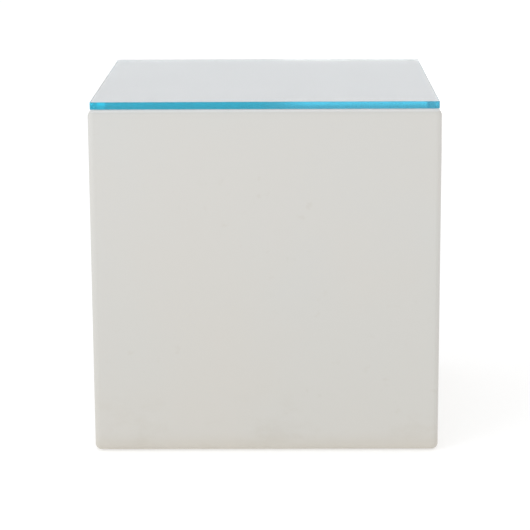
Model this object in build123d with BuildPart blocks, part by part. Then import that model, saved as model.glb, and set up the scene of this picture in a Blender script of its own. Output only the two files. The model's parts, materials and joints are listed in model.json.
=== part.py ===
from build123d import *
import math
import os

# An 18 inch display cube: a closed box of mitred opal acrylic sheets with every outer edge
# rounded over, a loose clear slab on four bumpers, and four levelling feet let into the base.
#
# Frame: millimetres, +X to the right, +Y from the front face to the back, +Z up.
# The origin is on the floor, under the middle of the cube.

# ---------------------------------------------------------------- driving dimensions
INCH = 25.4

CUBE = 18 * INCH  # width, depth and height of the opal box
WALL = 6.0  # opal sheet
EDGE_RADIUS = 8.0  # round-over along every outer edge of the box
FLOOR_GAP = 1.5  # daylight under the box with its feet wound in

BAR = 15.0  # square bar behind every outer edge, where the round-over thins the mitre
BAR_CHAMFER = 1.0  # on the bar's free long edge

SLAB_INSET = 1 / 8 * INCH  # the slab stands this far inside the box's sides
SLAB_THICKNESS = 3 / 8 * INCH
SLAB_CORNER_RADIUS = 2.5  # dubbed corners, seen from above
SLAB_ARRIS = 0.4  # fine bevel along the slab's edges

BUMPER_RADIUS = 5.0  # small clear self-adhesive disc
BUMPER_THICKNESS = 1.0
BUMPER_INSET = 12.0  # bumper's centre, in from the slab's edges
BUMPER_ROUNDING = 0.3

BLOCK = 50.0  # square block that holds one levelling foot
BLOCK_HEIGHT = 25.0
BLOCK_RADIUS = 3.0
BLOCK_ROOF = 2.0  # left above the blind bore
END_ROOM = 1.0  # from the stud's end to the bore's end

THREAD_RADIUS = 4.0  # M8
THREAD_CLEARANCE = 0.05
INSERT_RADIUS = 5.5
INSERT_LENGTH = 15.0
INSERT_GROOVE = 0.4  # depth of the groove round the insert
INSERT_GROOVE_WIDTH = 3.0
BORE_CLEARANCE = 0.5  # round the stud's end, above the insert

FOOT_RADIUS = 15.0
FOOT_HEIGHT = 7.0
FOOT_ROUNDING = 1.0
FOOT_RECESS_RADIUS = 17.0  # hole through the base sheet that the foot retracts into
FOOT_RUNNING_GAP = 0.3  # between the foot and the turning stud

SOLE_RADIUS = 13.0
SOLE_THICKNESS = 1.5
SOLE_STANDS_PROUD = 0.4
KEY_HOLE_RADIUS = 3.5  # lets a hex key through the foot to the stud

COLLAR_RADIUS = 6.0  # the stud's foot end, held inside the foot
COLLAR_HEIGHT = 2.2
COLLAR_FLOOR = 3.0  # height of the pocket's floor for the collar
STUD_CHAMFER = 1.0
KEY_ACROSS_FLATS = 4.0
KEY_DEPTH = 6.0

VENT_RADIUS = 3.0  # lets a sealed box breathe

# ---------------------------------------------------------------- places worked out from them
HALF = CUBE / 2
INNER_HALF = HALF - WALL
BOX_BOTTOM = FLOOR_GAP
BOX_TOP = FLOOR_GAP + CUBE
INNER_BOTTOM = BOX_BOTTOM + WALL
INNER_TOP = BOX_TOP - WALL
BOX_MIDDLE = (BOX_BOTTOM + BOX_TOP) / 2

SLAB = CUBE - 2 * SLAB_INSET
SLAB_BOTTOM = BOX_TOP + BUMPER_THICKNESS
BUMPER_PLACE = SLAB / 2 - BUMPER_INSET

POST_PLACE = INNER_HALF - BAR / 2
BATTEN_LENGTH = 2 * (INNER_HALF - BAR)

BLOCK_PLACE = INNER_HALF - BAR - BLOCK / 2
BORE_DEPTH = BLOCK_HEIGHT - BLOCK_ROOF
STUD_BOTTOM = COLLAR_FLOOR + FOOT_RUNNING_GAP / 2
STUD_TOP = INNER_BOTTOM + BORE_DEPTH - END_ROOM
COLLAR_POCKET_TOP = STUD_BOTTOM + COLLAR_HEIGHT + FOOT_RUNNING_GAP / 2

# Each corner's name, with the signs of its X and Y.
CORNERS = {
    "front_left": (-1, -1),
    "front_right": (1, -1),
    "back_left": (-1, 1),
    "back_right": (1, 1),
}
# Each side's name, with the angle of its outward normal about +Z, from +X.
SIDES = {"right": 0, "back": 90, "left": 180, "front": 270}

os.makedirs("parts", exist_ok=True)


def save(builder, name):
    """Labels a finished piece and writes it as its own STEP file."""
    builder.part.label = name
    export_step(builder.part, f"parts/{name}.step")


def at_corner(signs, reach):
    """The X and Y of a place that is reach from the middle both ways, towards a corner."""
    return signs[0] * reach, signs[1] * reach


# ---------------------------------------------------------------- opal box
def inward_plane(side_angle):
    """The plane of a side's outer face, pointing into the box."""
    angle = math.radians(side_angle)
    outward = Vector(math.cos(angle), math.sin(angle), 0)
    middle = outward * HALF + Vector(0, 0, BOX_MIDDLE)
    return Plane(origin=middle, x_dir=(0, 0, 1), z_dir=outward * -1)


# The box's outer form, which every sheet is trimmed to.
with BuildPart() as rounded_block:
    with BuildSketch(Plane.XY.offset(BOX_BOTTOM)):
        Rectangle(CUBE, CUBE)
    extrude(amount=CUBE)
    fillet(rounded_block.edges(), EDGE_RADIUS)

# Four walls, mitred on all their edges.
for side, side_angle in SIDES.items():
    with BuildPart() as wall:
        with BuildSketch(inward_plane(side_angle)):
            Rectangle(CUBE, CUBE)
        extrude(amount=WALL, taper=45)
        add(rounded_block.part, mode=Mode.INTERSECT)
    save(wall, f"{side}_wall")

with BuildPart() as top_deck:
    with BuildSketch(Plane.XY.offset(BOX_TOP).rotated((180, 0, 0))):
        Rectangle(CUBE, CUBE)
    extrude(amount=WALL, taper=45)
    add(rounded_block.part, mode=Mode.INTERSECT)
save(top_deck, "top_deck")

# The base sheet has a hole for each foot and a vent in its middle.
with BuildPart() as base_panel:
    with BuildSketch(Plane.XY.offset(BOX_BOTTOM)):
        Rectangle(CUBE, CUBE)
    extrude(amount=WALL, taper=45)
    add(rounded_block.part, mode=Mode.INTERSECT)
    with Locations((0, 0, INNER_BOTTOM)):
        with GridLocations(2 * BLOCK_PLACE, 2 * BLOCK_PLACE, 2, 2):
            Hole(FOOT_RECESS_RADIUS)
        Hole(VENT_RADIUS)
save(base_panel, "base_panel")

# ---------------------------------------------------------------- bars inside the box
# A post stands in each upright corner, its free edge towards the middle of the box.
for corner, signs in CORNERS.items():
    with BuildPart() as post:
        with BuildSketch(Plane.XY.offset(INNER_BOTTOM)):
            with Locations(at_corner(signs, POST_PLACE)):
                Rectangle(BAR, BAR)
        extrude(amount=INNER_TOP - INNER_BOTTOM)
        nearest_middle = post.edges().filter_by(Axis.Z).sort_by_distance((0, 0, BOX_MIDDLE))[0]
        chamfer(nearest_middle, BAR_CHAMFER)
    save(post, f"corner_post_{corner}")


def batten(side_angle, bottom):
    """A bar along one side, between two posts, with its underside at the height bottom."""
    along_side = Plane.XY.offset(bottom).rotated((0, 0, side_angle))
    with BuildPart() as made:
        with BuildSketch(along_side):
            with Locations((POST_PLACE, 0)):
                Rectangle(BAR, BATTEN_LENGTH)
        extrude(amount=BAR)
        long_edges = made.edges().filter_by(lambda edge: edge.length > BATTEN_LENGTH - BAR)
        nearest_middle = long_edges.sort_by_distance((0, 0, BOX_MIDDLE))[0]
        chamfer(nearest_middle, BAR_CHAMFER)
    return made


for side, side_angle in SIDES.items():
    save(batten(side_angle, INNER_TOP - BAR), f"deck_batten_{side}")
    save(batten(side_angle, INNER_BOTTOM), f"base_batten_{side}")

# ---------------------------------------------------------------- levelling feet
for corner, signs in CORNERS.items():
    foot_x, foot_y = at_corner(signs, BLOCK_PLACE)
    looking_down = Plane(origin=(foot_x, foot_y, INNER_BOTTOM), z_dir=(0, 0, -1))
    upright_section = Plane(origin=(foot_x, foot_y, 0), x_dir=(1, 0, 0), z_dir=(0, -1, 0))
    foot_axis = Axis((foot_x, foot_y, 0), (0, 0, 1))

    # Block bonded to the base sheet, bored from below for the insert and the stud's end.
    with BuildPart() as block:
        with BuildSketch(Plane.XY.offset(INNER_BOTTOM)):
            with Locations((foot_x, foot_y)):
                RectangleRounded(BLOCK, BLOCK, BLOCK_RADIUS)
        extrude(amount=BLOCK_HEIGHT)
        with Locations(looking_down):
            CounterBoreHole(
                radius=THREAD_RADIUS + BORE_CLEARANCE,
                counter_bore_radius=INSERT_RADIUS,
                counter_bore_depth=INSERT_LENGTH,
                depth=BORE_DEPTH,
            )
    save(block, f"foot_block_{corner}")

    # Brass insert, its thread shown as a plain bore with running clearance.
    with BuildPart() as insert:
        with BuildSketch(Plane.XY.offset(INNER_BOTTOM)):
            with Locations((foot_x, foot_y)):
                Circle(INSERT_RADIUS)
                Circle(THREAD_RADIUS + THREAD_CLEARANCE, mode=Mode.SUBTRACT)
        extrude(amount=INSERT_LENGTH)
        groove_bottom = INNER_BOTTOM + (INSERT_LENGTH - INSERT_GROOVE_WIDTH) / 2
        with BuildSketch(Plane.XY.offset(groove_bottom)):
            with Locations((foot_x, foot_y)):
                Circle(INSERT_RADIUS)
                Circle(INSERT_RADIUS - INSERT_GROOVE, mode=Mode.SUBTRACT)
        extrude(amount=INSERT_GROOVE_WIDTH, mode=Mode.SUBTRACT)
    save(insert, f"thread_insert_{corner}")

    # Stud with a collar at its foot end and a hex socket for a key from below.
    with BuildPart() as stud:
        with BuildSketch(upright_section):
            with BuildLine():
                Polyline(
                    (0, STUD_BOTTOM),
                    (COLLAR_RADIUS, STUD_BOTTOM),
                    (COLLAR_RADIUS, STUD_BOTTOM + COLLAR_HEIGHT),
                    (THREAD_RADIUS, STUD_BOTTOM + COLLAR_HEIGHT),
                    (THREAD_RADIUS, STUD_TOP - STUD_CHAMFER),
                    (THREAD_RADIUS - STUD_CHAMFER, STUD_TOP),
                    (0, STUD_TOP),
                    close=True,
                )
            make_face()
        revolve(axis=foot_axis)
        with BuildSketch(Plane.XY.offset(STUD_BOTTOM)):
            with Locations((foot_x, foot_y)):
                RegularPolygon(KEY_ACROSS_FLATS / 2, 6, major_radius=False)
        extrude(amount=KEY_DEPTH, mode=Mode.SUBTRACT)
    save(stud, f"levelling_stud_{corner}")

    # Foot: a disc with a pocket for the stud's collar, a lip over it and a recess for the sole.
    with BuildPart() as foot:
        with BuildSketch(upright_section):
            with BuildLine():
                Polyline(
                    (KEY_HOLE_RADIUS, SOLE_THICKNESS),
                    (SOLE_RADIUS, SOLE_THICKNESS),
                    (SOLE_RADIUS, SOLE_STANDS_PROUD),
                    (FOOT_RADIUS, SOLE_STANDS_PROUD),
                    (FOOT_RADIUS, FOOT_HEIGHT),
                    (THREAD_RADIUS + FOOT_RUNNING_GAP, FOOT_HEIGHT),
                    (THREAD_RADIUS + FOOT_RUNNING_GAP, COLLAR_POCKET_TOP),
                    (COLLAR_RADIUS + FOOT_RUNNING_GAP, COLLAR_POCKET_TOP),
                    (COLLAR_RADIUS + FOOT_RUNNING_GAP, COLLAR_FLOOR),
                    (KEY_HOLE_RADIUS, COLLAR_FLOOR),
                    close=True,
                )
            make_face()
        revolve(axis=foot_axis)
        top_edges = foot.edges().group_by(Axis.Z)[-1]
        fillet(top_edges.sort_by(SortBy.RADIUS)[-1], FOOT_ROUNDING)
    save(foot, f"foot_{corner}")

    # Rubber sole let into the underside of the foot.
    with BuildPart() as sole:
        with BuildSketch():
            with Locations((foot_x, foot_y)):
                Circle(SOLE_RADIUS)
                Circle(KEY_HOLE_RADIUS, mode=Mode.SUBTRACT)
        extrude(amount=SOLE_THICKNESS)
    save(sole, f"foot_sole_{corner}")

# ---------------------------------------------------------------- clear slab and its bumpers
for corner, signs in CORNERS.items():
    with BuildPart() as bumper:
        with BuildSketch(Plane.XY.offset(BOX_TOP)):
            with Locations(at_corner(signs, BUMPER_PLACE)):
                Circle(BUMPER_RADIUS)
        extrude(amount=BUMPER_THICKNESS)
        fillet(bumper.edges().group_by(Axis.Z)[-1], BUMPER_ROUNDING)
    save(bumper, f"bumper_{corner}")

with BuildPart() as top_slab:
    with BuildSketch(Plane.XY.offset(SLAB_BOTTOM)):
        RectangleRounded(SLAB, SLAB, SLAB_CORNER_RADIUS)
    extrude(amount=SLAB_THICKNESS)
    chamfer(top_slab.edges().filter_by(Plane.XY), SLAB_ARRIS)
save(top_slab, "top_slab")
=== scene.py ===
"""The looks of an 18 inch display cube: opal acrylic box, clear slab with azure edges, recessed feet.

Everything is in metres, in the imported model's frame: +X right, +Y from front to back, +Z up.
"""
import json
import math

import bmesh
import bpy
from mathutils import Matrix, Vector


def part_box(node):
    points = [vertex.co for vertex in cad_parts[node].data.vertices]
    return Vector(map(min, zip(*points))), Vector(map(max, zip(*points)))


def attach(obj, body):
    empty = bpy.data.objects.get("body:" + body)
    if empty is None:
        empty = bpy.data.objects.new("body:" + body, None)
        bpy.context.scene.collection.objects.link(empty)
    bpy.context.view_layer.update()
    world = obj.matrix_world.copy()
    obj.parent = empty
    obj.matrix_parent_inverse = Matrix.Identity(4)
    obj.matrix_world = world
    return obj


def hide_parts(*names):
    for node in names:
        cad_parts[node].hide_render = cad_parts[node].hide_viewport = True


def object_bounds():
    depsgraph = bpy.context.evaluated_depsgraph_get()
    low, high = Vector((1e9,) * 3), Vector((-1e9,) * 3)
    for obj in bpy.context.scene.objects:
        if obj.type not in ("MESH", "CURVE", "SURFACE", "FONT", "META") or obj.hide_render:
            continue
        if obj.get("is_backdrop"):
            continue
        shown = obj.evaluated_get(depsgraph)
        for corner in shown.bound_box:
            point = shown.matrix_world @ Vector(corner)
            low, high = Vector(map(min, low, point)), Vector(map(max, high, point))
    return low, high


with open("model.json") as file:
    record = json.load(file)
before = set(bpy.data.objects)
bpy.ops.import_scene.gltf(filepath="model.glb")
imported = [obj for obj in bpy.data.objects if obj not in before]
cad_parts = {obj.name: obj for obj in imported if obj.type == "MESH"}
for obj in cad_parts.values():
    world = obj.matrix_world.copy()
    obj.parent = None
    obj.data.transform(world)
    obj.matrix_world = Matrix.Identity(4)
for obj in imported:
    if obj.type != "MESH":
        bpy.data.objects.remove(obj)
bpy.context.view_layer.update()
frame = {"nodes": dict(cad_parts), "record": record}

MM = 0.001

# The box without its slab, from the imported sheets.
BOX_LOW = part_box("left_wall")[0].x
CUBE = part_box("right_wall")[1].x - BOX_LOW
BOX_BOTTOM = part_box("base_panel")[0].z
BOX_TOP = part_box("top_deck")[1].z

# The slab's edges.
SLAB_CORNER_RADIUS = 2.5 * MM
SLAB_ARRIS = 0.4 * MM
SLAB_CLEARANCE = 0.02 * MM  # keeps the glass off the bumpers' own faces
CORNER_SEGMENTS = 10
SMOOTH_UP_TO = math.radians(25)  # edges bent more than this stay sharp

# The slab's surface: tint, least and greatest roughness, and the depth of its unevenness. The edge's tint is
# deeper on the left as painted shade.
FACE_TINT = (1.0, 0.985, 0.995, 1)
EDGE_TINT_PAINTED_SHADE_LEFT = (0.03, 0.63, 0.725, 1)
EDGE_TINT_RIGHT = (0.25, 0.63, 0.725, 1)
FACE_POLISH = (0.045, 0.06)
EDGE_POLISH = (0.04, 0.06)
SLAB_RIPPLE = 0.0004 * MM

# The slab's body: what it lets through, and how much it absorbs in each metre.
BODY_COLOUR = (0.0, 0.72, 0.84, 1)
BODY_DENSITY = 4.0

# The painted highlight on the box's top round-over: how far down it starts, and how near the top it ends,
# where painted shade under the slab takes over.
PAINTED_HIGHLIGHT_DEPTH = 3.8 * MM
PAINTED_SHADE_DEPTH = 0.3 * MM

# Heights where a mark on the box starts, and lower down where it is fullest: painted shade that darkens the
# sheet towards the bottom, painted contact shade at the floor, and scuffs.
PAINTED_SHADE_HEIGHTS = (0.480, 0.0)
PAINTED_FLOOR_SHADE_HEIGHTS = (0.030, 0.002)
SCUFF_HEIGHTS = (0.110, 0.020)

# How far each mark takes the sheet towards its own colour; the first two marks are painted shade.
PAINTED_SHADE_SHARE = 0.26
PAINTED_FLOOR_SHADE_SHARE = 0.45
SCUFF_SHARE = 0.18
NIB_SHARE = 0.4
SMUDGE_SHARE = 0.12

# Where the painted shade in the slab's edge tint, deeper on the left, fades out along X.
EDGE_PAINTED_SHADE_FADE = (-0.03, 0.06)

# The floor, which glows evenly, and a painted pool of light on it behind the cube: where that starts along X
# and along Y.
FLOOR_RADIUS = 40
FLOOR_GLOW = 0.45
PAINTED_LIGHT_POOL_GLOW = 0.65
PAINTED_LIGHT_POOL_LEFT = (-0.03, 0.06)
PAINTED_LIGHT_POOL_FRONT = (2.2, 2.7)

# The sky and the key light.
SKY_STRENGTH = 0.88
KEY_PLACE = (-2.4, -2.2, 2.0)
KEY_SIZE = 2.4
KEY_POWER = 28  # watts
KEY_COLOUR = (0.90, 0.95, 1.0)

# Camera, placed from the middle of the cube's footprint: a long lens, well above the cube's top.
CAMERA_LENS = 137.59  # mm, on Blender's 36 mm sensor
CAMERA_AWAY = 6.1454 * CUBE
CAMERA_ASIDE = 0.0676 * CUBE
CAMERA_HEIGHT = BOX_BOTTOM + 1.8318 * CUBE
CAMERA_TILT = 0.2225  # radians below the horizon
CAMERA_TURN = 0.0122
CAMERA_ROLL = -0.0054

# Light paths, enough for the slab's long paths between its faces.
MOST_BOUNCES = 32
GLASS_BOUNCES = 24


# ---------------------------------------------------------------- node helpers
class Nodes:
    """A material's node tree, with short ways to add what this scene uses."""

    def __init__(self, name):
        self.material = bpy.data.materials.new(name)
        self.material.use_nodes = True
        self.tree = self.material.node_tree
        self.tree.nodes.clear()
        self.output = self.add("ShaderNodeOutputMaterial")
        self.place = self.add("ShaderNodeTexCoord").outputs["Object"]

    def add(self, kind, **settings):
        """A new node of this kind, with these settings."""
        node = self.tree.nodes.new(kind)
        for key, value in settings.items():
            setattr(node, key, value)
        return node

    def feed(self, socket, value):
        """Links a socket, or sets a plain value on it."""
        if isinstance(value, bpy.types.NodeSocket):
            self.tree.links.new(value, socket)
        else:
            socket.default_value = value

    def surface(self, **inputs):
        """The Principled shader on the surface output, with inputs named by their labels."""
        shader = self.add("ShaderNodeBsdfPrincipled")
        for label, value in inputs.items():
            self.feed(shader.inputs[label.replace("_", " ")], value)
        self.tree.links.new(shader.outputs["BSDF"], self.output.inputs["Surface"])
        return shader

    def stretched(self, scale):
        """The place on the object, scaled apart along X, Y and Z."""
        mapping = self.add("ShaderNodeMapping")
        self.feed(mapping.inputs["Vector"], self.place)
        mapping.inputs["Scale"].default_value = scale
        return mapping.outputs["Vector"]

    def noise(self, scale, detail=2.0, roughness=0.5, vector=None):
        """Noise from 0 to 1 over the place on the object, or over vector."""
        texture = self.add("ShaderNodeTexNoise")
        self.feed(texture.inputs["Vector"], vector or self.place)
        texture.inputs["Scale"].default_value = scale
        texture.inputs["Detail"].default_value = detail
        texture.inputs["Roughness"].default_value = roughness
        return texture.outputs["Fac"]

    def specks(self, scale, size):
        """1 on small round specks, one at most in each cell of a grid, and 0 elsewhere."""
        texture = self.add("ShaderNodeTexVoronoi")
        self.feed(texture.inputs["Vector"], self.place)
        texture.inputs["Scale"].default_value = scale
        return self.ramp(texture.outputs["Distance"], size, size * 0.5)

    def ramp(self, value, low, high, to_low=0.0, to_high=1.0):
        """value stretched so that low gives to_low and high gives to_high, and held there beyond."""
        node = self.add("ShaderNodeMapRange", interpolation_type="SMOOTHSTEP")
        for label, number in (("From Min", low), ("From Max", high), ("To Min", to_low), ("To Max", to_high)):
            node.inputs[label].default_value = number
        self.feed(node.inputs["Value"], value)
        return node.outputs["Result"]

    def math(self, operation, *values):
        """The result of a Math node on the values."""
        node = self.add("ShaderNodeMath", operation=operation)
        for socket, value in zip(node.inputs, values):
            self.feed(socket, value)
        return node.outputs["Value"]

    def place_axes(self):
        """The place on the object along X, Y and Z, Z being the height above the floor at rest."""
        split = self.add("ShaderNodeSeparateXYZ")
        self.feed(split.inputs["Vector"], self.place)
        return split.outputs[:]

    def mix(self, share, first, second):
        """The first colour where share is 0, and the second where it is 1."""
        node = self.add("ShaderNodeMix", data_type="RGBA")
        colours = [socket for socket in node.inputs if socket.type == "RGBA"]
        for socket, value in zip((node.inputs["Factor"], *colours), (share, first, second)):
            self.feed(socket, value)
        return next(socket for socket in node.outputs if socket.type == "RGBA")

    def towards(self, colour, other, where, share):
        """colour, taken towards other by share where `where` is 1."""
        return self.mix(self.math("MULTIPLY", where, share), colour, other)

    def bump(self, value, depth, after=None):
        """A normal from value as a height of depth metres, on top of the normal after."""
        node = self.add("ShaderNodeBump")
        node.inputs["Distance"].default_value = depth
        self.feed(node.inputs["Height"], value)
        if after is not None:
            self.feed(node.inputs["Normal"], after)
        return node.outputs["Normal"]


# ---------------------------------------------------------------- materials
def opal_acrylic():
    """Satin opal sheet: darker and warmer lower down as painted shade, with painted contact shade at the
    floor, scuffed lower down, a painted highlight on its top round-over, painted shade under the slab, and
    faint smudges.
    """
    n = Nodes("opal_acrylic_satin")
    clean = (0.622, 0.608, 0.576, 1)
    cool = (0.613, 0.611, 0.588, 1)
    warm_painted_shade = (0.55, 0.50, 0.42, 1)
    scuffed = (0.46, 0.41, 0.33, 1)
    painted_highlight = (0.77, 0.765, 0.755, 1)
    painted_shade_under_slab = (0.603, 0.568, 0.574, 1)
    _, _, height = n.place_axes()
    drift = n.ramp(n.noise(3.5, 3.0), 0.35, 0.65)
    colour = n.mix(drift, clean, cool)
    # painted shade: the sheet darkens and warms towards the bottom, and most of all at the floor
    colour = n.towards(colour, warm_painted_shade, n.ramp(height, *PAINTED_SHADE_HEIGHTS), PAINTED_SHADE_SHARE)
    colour = n.towards(colour, warm_painted_shade, n.ramp(height, *PAINTED_FLOOR_SHADE_HEIGHTS), PAINTED_FLOOR_SHADE_SHARE)
    # painted highlight: the round-over drawn paler to stand in for the light it catches from above
    colour = n.mix(n.ramp(height, BOX_TOP - PAINTED_HIGHLIGHT_DEPTH, BOX_TOP - PAINTED_SHADE_DEPTH), colour, painted_highlight)
    # painted shade: darker and pinker where the slab overhangs and covers the deck
    colour = n.mix(n.ramp(height, BOX_TOP - PAINTED_SHADE_DEPTH, BOX_TOP), colour, painted_shade_under_slab)
    low = n.ramp(height, *SCUFF_HEIGHTS)
    rubbed = n.ramp(n.noise(14.0, 6.0, 0.65, n.stretched((1.0, 1.0, 1.6))), 0.48, 0.72)
    colour = n.towards(colour, scuffed, n.math("MULTIPLY", low, rubbed), SCUFF_SHARE)
    colour = n.towards(colour, scuffed, n.specks(22.0, 0.018), NIB_SHARE)
    smudges = n.ramp(n.noise(48.0, 4.0, 0.6, n.stretched((1.0, 1.0, 1.4))), 0.60, 0.72)
    handled = n.ramp(n.noise(6.0, 2.0), 0.48, 0.60)
    colour = n.towards(colour, scuffed, n.math("MULTIPLY", smudges, handled), SMUDGE_SHARE)
    scratches = n.ramp(n.noise(60.0, 8.0, 0.8, n.stretched((1.0, 1.0, 0.06))), 0.60, 0.75)
    roughness = n.ramp(n.noise(8.0, 5.0, 0.6), 0.3, 0.7, 0.36, 0.50)
    roughness = n.math("ADD", roughness, n.math("MULTIPLY", scratches, 0.06))
    peel = n.bump(n.noise(260.0, 2.0), 0.03 * MM)
    waves = n.bump(n.noise(9.0, 1.0), 0.5 * MM, peel)
    n.surface(Base_Color=colour, Roughness=roughness, IOR=1.49, Normal=waves)
    return n.material


def slab_glass(name, polish, tint, right_tint=None):
    """Clear glass whose body absorbs red first. Its surface is tint all over, or changes to right_tint, tint
    then holding painted shade on the left.
    """
    n = Nodes(name)
    if right_tint is not None:
        # painted shade: the edge tint is deeper on the left and fades to right_tint
        across, _, _ = n.place_axes()
        tint = n.mix(n.ramp(across, *EDGE_PAINTED_SHADE_FADE), tint, right_tint)
    film = n.ramp(n.noise(18.0, 6.0, 0.6), 0.45, 0.75, *polish)
    uneven = n.bump(n.noise(12.0, 2.0), SLAB_RIPPLE)
    n.surface(Base_Color=tint, Roughness=film, IOR=1.52, Transmission_Weight=1.0, Normal=uneven)
    body = n.add("ShaderNodeVolumeAbsorption")
    body.inputs["Color"].default_value = BODY_COLOUR
    body.inputs["Density"].default_value = BODY_DENSITY
    n.tree.links.new(body.outputs["Volume"], n.output.inputs["Volume"])
    return n.material


def clear_bumper():
    """Clear polyurethane stuck down on white: it shows the white through, so it is drawn pale and glossy."""
    n = Nodes("clear_polyurethane")
    cloud = n.noise(300.0, 3.0)
    colour = n.mix(cloud, (0.56, 0.58, 0.59, 1), (0.62, 0.63, 0.64, 1))
    n.surface(Base_Color=colour, Roughness=n.ramp(cloud, 0.3, 0.7, 0.08, 0.20), IOR=1.48,
              Normal=n.bump(n.noise(500.0), 0.005 * MM))
    return n.material


def bar_acrylic():
    """Opal bar with fine saw marks."""
    n = Nodes("bar_acrylic_sawn")
    saw = n.noise(900.0, 2.0, 0.5, n.stretched((1.0, 1.0, 0.15)))
    colour = n.mix(n.noise(30.0, 3.0), (0.76, 0.755, 0.735, 1), (0.70, 0.695, 0.68, 1))
    n.surface(Base_Color=colour, Roughness=n.ramp(saw, 0.3, 0.7, 0.45, 0.6), IOR=1.49,
              Normal=n.bump(saw, 0.05 * MM))
    return n.material


def moulded_nylon():
    """Black nylon with a fine moulded grain."""
    n = Nodes("black_nylon")
    grain = n.noise(1500.0, 3.0)
    colour = n.mix(n.noise(120.0, 3.0), (0.016, 0.016, 0.018, 1), (0.026, 0.026, 0.028, 1))
    n.surface(Base_Color=colour, Roughness=n.ramp(grain, 0.3, 0.7, 0.42, 0.58),
              Normal=n.bump(grain, 0.03 * MM))
    return n.material


def sole_rubber():
    """Dark grey rubber with a little dust."""
    n = Nodes("grey_rubber")
    grain = n.noise(900.0, 4.0, 0.7)
    dust = n.ramp(n.noise(160.0, 4.0), 0.5, 0.7)
    colour = n.towards((0.035, 0.035, 0.036, 1), (0.12, 0.115, 0.105, 1), dust, 0.4)
    n.surface(Base_Color=colour, Roughness=n.ramp(grain, 0.3, 0.7, 0.7, 0.9),
              Normal=n.bump(grain, 0.06 * MM))
    return n.material


def turned_metal(name, colour, worn):
    """Turned metal: fine rings along the piece's upright axis."""
    n = Nodes(name)
    rings = n.noise(60.0, 3.0, 0.6, n.stretched((1.0, 1.0, 60.0)))
    shade = n.mix(n.ramp(n.noise(200.0, 4.0), 0.4, 0.7), colour, worn)
    n.surface(Base_Color=shade, Metallic=1.0, Roughness=n.ramp(rings, 0.3, 0.7, 0.22, 0.42),
              Normal=n.bump(rings, 0.02 * MM))
    return n.material


def paint_nodes():
    """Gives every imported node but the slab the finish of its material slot."""
    finishes = {
        "opal_acrylic": opal_acrylic(),
        "bar_acrylic": bar_acrylic(),
        "clear_bumper": clear_bumper(),
        "insert_brass": turned_metal("turned_brass", (0.72, 0.50, 0.22, 1), (0.50, 0.34, 0.16, 1)),
        "stud_steel": turned_metal("zinc_plate", (0.62, 0.64, 0.67, 1), (0.46, 0.47, 0.49, 1)),
        "foot_nylon": moulded_nylon(),
        "sole_rubber": sole_rubber(),
    }
    for part in frame["record"]["subparts"]:
        finish = finishes.get(part["material_slot"])
        if finish is None:
            continue
        for slot in frame["nodes"][part["node"]].material_slots:
            slot.material = finish


# ---------------------------------------------------------------- slab
def rounded_ring(work, low, high, inset, z):
    """A ring of vertices round the slab at height z, inset from its sides, its corners as arcs."""
    radius = SLAB_CORNER_RADIUS - inset
    centres = (
        (high.x, high.y, 0.0),
        (low.x, high.y, 0.5),
        (low.x, low.y, 1.0),
        (high.x, low.y, 1.5),
    )
    ring = []
    for corner_x, corner_y, half_turns in centres:
        centre_x = corner_x - math.copysign(SLAB_CORNER_RADIUS, corner_x)
        centre_y = corner_y - math.copysign(SLAB_CORNER_RADIUS, corner_y)
        for step in range(CORNER_SEGMENTS + 1):
            angle = math.pi * (half_turns + 0.5 * step / CORNER_SEGMENTS)
            spot = (centre_x + radius * math.cos(angle), centre_y + radius * math.sin(angle), z)
            ring.append(work.verts.new(spot))
    return ring


def glass_slab():
    """The slab: flat faces, an upright edge band, and a polished arris between them."""
    low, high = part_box("top_slab")
    work = bmesh.new()
    levels = (
        (SLAB_ARRIS, low.z + SLAB_CLEARANCE),
        (0.0, low.z + SLAB_ARRIS),
        (0.0, high.z - SLAB_ARRIS),
        (SLAB_ARRIS, high.z),
    )
    rings = [rounded_ring(work, low, high, inset, z) for inset, z in levels]
    work.faces.new(list(reversed(rings[0])))
    work.faces.new(rings[-1])
    count = len(rings[0])
    for lower, upper in zip(rings, rings[1:]):
        for i in range(count):
            j = (i + 1) % count
            strip = work.faces.new((lower[i], lower[j], upper[j], upper[i]))
            strip.material_index = 1
            strip.smooth = True
    work.normal_update()
    for edge in work.edges:
        edge.smooth = edge.calc_face_angle(0) < SMOOTH_UP_TO
    mesh = bpy.data.meshes.new("glass_slab")
    work.to_mesh(mesh)
    work.free()
    slab = bpy.data.objects.new("glass_slab", mesh)
    bpy.context.scene.collection.objects.link(slab)
    mesh.materials.append(slab_glass("slab_face", FACE_POLISH, FACE_TINT))
    mesh.materials.append(slab_glass("slab_edge", EDGE_POLISH, EDGE_TINT_PAINTED_SHADE_LEFT, EDGE_TINT_RIGHT))
    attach(slab, "lift_off_slab")
    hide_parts("top_slab")


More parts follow.
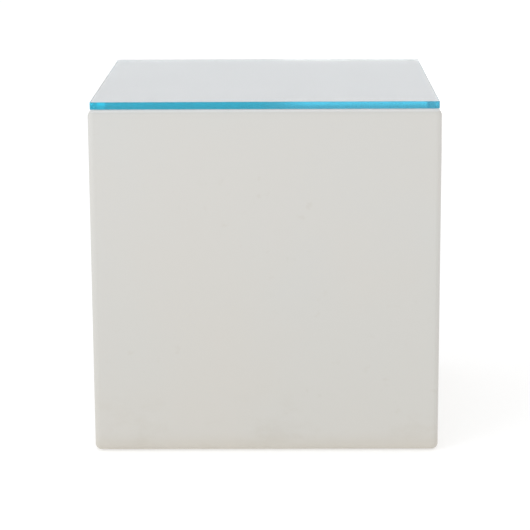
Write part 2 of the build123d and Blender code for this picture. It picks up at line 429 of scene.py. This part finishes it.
# ---------------------------------------------------------------- studio
def studio():
    """A floor that is a light table, with a painted pool of light far behind the right half, an even sky and
    a key light.
    """
    n = Nodes("floor_pale")
    pale = n.mix(n.noise(1.5), (0.64, 0.64, 0.64, 1), (0.66, 0.66, 0.66, 1))
    across, along, _ = n.place_axes()
    # painted light: a glowing pool on the floor behind the right half of the cube
    painted_light_pool = n.math("MULTIPLY", n.ramp(across, *PAINTED_LIGHT_POOL_LEFT), n.ramp(along, *PAINTED_LIGHT_POOL_FRONT))
    glow = n.math("ADD", n.math("MULTIPLY", painted_light_pool, PAINTED_LIGHT_POOL_GLOW), FLOOR_GLOW)
    n.surface(Base_Color=pale, Roughness=0.8, Emission_Color=(1, 1, 1, 1), Emission_Strength=glow)
    bpy.ops.mesh.primitive_circle_add(vertices=96, radius=FLOOR_RADIUS, fill_type="NGON",
                                      location=(0, 0, 0))
    floor = bpy.context.object
    floor.name = "floor"
    floor.data.materials.append(n.material)
    floor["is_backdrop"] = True

    world = bpy.data.worlds.new("studio_white")
    world.use_nodes = True
    sky = world.node_tree.nodes["Background"]
    sky.inputs["Color"].default_value = (1, 1, 1, 1)
    sky.inputs["Strength"].default_value = SKY_STRENGTH
    bpy.context.scene.world = world
    key_light()


def key_light():
    """A square area light that faces the middle of the cube."""
    light = bpy.data.lights.new("key", "AREA")
    light.shape = "SQUARE"
    light.size = KEY_SIZE
    light.energy = KEY_POWER
    light.color = KEY_COLOUR
    holder = bpy.data.objects.new("key", light)
    bpy.context.scene.collection.objects.link(holder)
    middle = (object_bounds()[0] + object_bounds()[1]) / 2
    holder.location = KEY_PLACE
    holder.rotation_euler = (holder.location - middle).to_track_quat("Z", "Y").to_euler()


def camera():
    """The camera in front of the cube, looking a little down on it."""
    lens = bpy.data.cameras.new("camera")
    lens.lens = CAMERA_LENS
    lens.clip_end = 100
    holder = bpy.data.objects.new("camera", lens)
    bpy.context.scene.collection.objects.link(holder)
    holder.matrix_world = (
        Matrix.Translation((CAMERA_ASIDE, -CAMERA_AWAY, CAMERA_HEIGHT))
        @ Matrix.Rotation(CAMERA_TURN, 4, "Z")
        @ Matrix.Rotation(math.pi / 2 - CAMERA_TILT, 4, "X")
        @ Matrix.Rotation(CAMERA_ROLL, 4, "Z")
    )
    bpy.context.scene.camera = holder


paint_nodes()
glass_slab()
studio()
camera()

scene = bpy.context.scene
scene.view_settings.view_transform = "Standard"
scene.cycles.max_bounces = MOST_BOUNCES
scene.cycles.glossy_bounces = GLASS_BOUNCES
scene.cycles.transmission_bounces = GLASS_BOUNCES
scene.cycles.blur_glossy = 0.0  # blurring would darken whatever is lit through the glass
